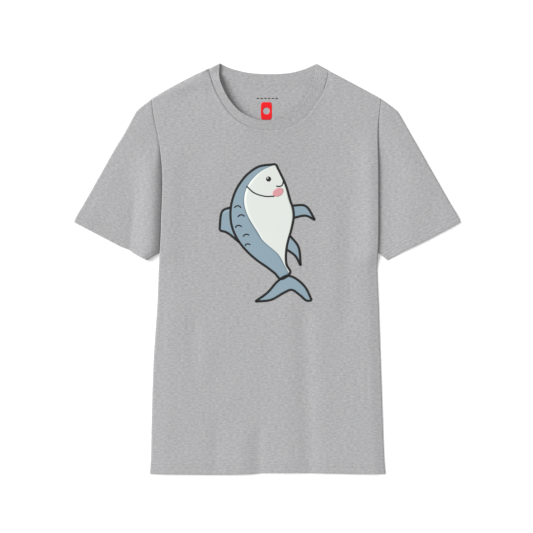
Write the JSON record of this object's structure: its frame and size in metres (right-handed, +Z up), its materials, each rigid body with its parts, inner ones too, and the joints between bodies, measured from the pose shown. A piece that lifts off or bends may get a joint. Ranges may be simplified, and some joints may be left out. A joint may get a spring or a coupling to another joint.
{
  "type": "t-shirt laid flat",
  "caption": "Short-sleeved crew-neck T-shirt laid flat on its back, front up, with a rib collar that stands up a little around the open neck.",
  "frame": {"origin": "on the surface the shirt lies on, under the middle of its bounding box", "axes": "+Z up out of the surface, +Y from the hem to the neck, +X towards the wearer's left sleeve; the front faces +Z"},
  "size_m": [0.6948, 0.7401, 0.0132],
  "materials": {
    "jersey": "heather grey cotton jersey, fine knit, matt",
    "rib": "heather grey 1x1 cotton rib, matt"
  },
  "bodies": {
    "root": {"front_panel": "jersey", "back_panel": "jersey", "sleeve_right": "jersey", "sleeve_left": "jersey", "neckband": "rib"}
  },
  "joints": []
}
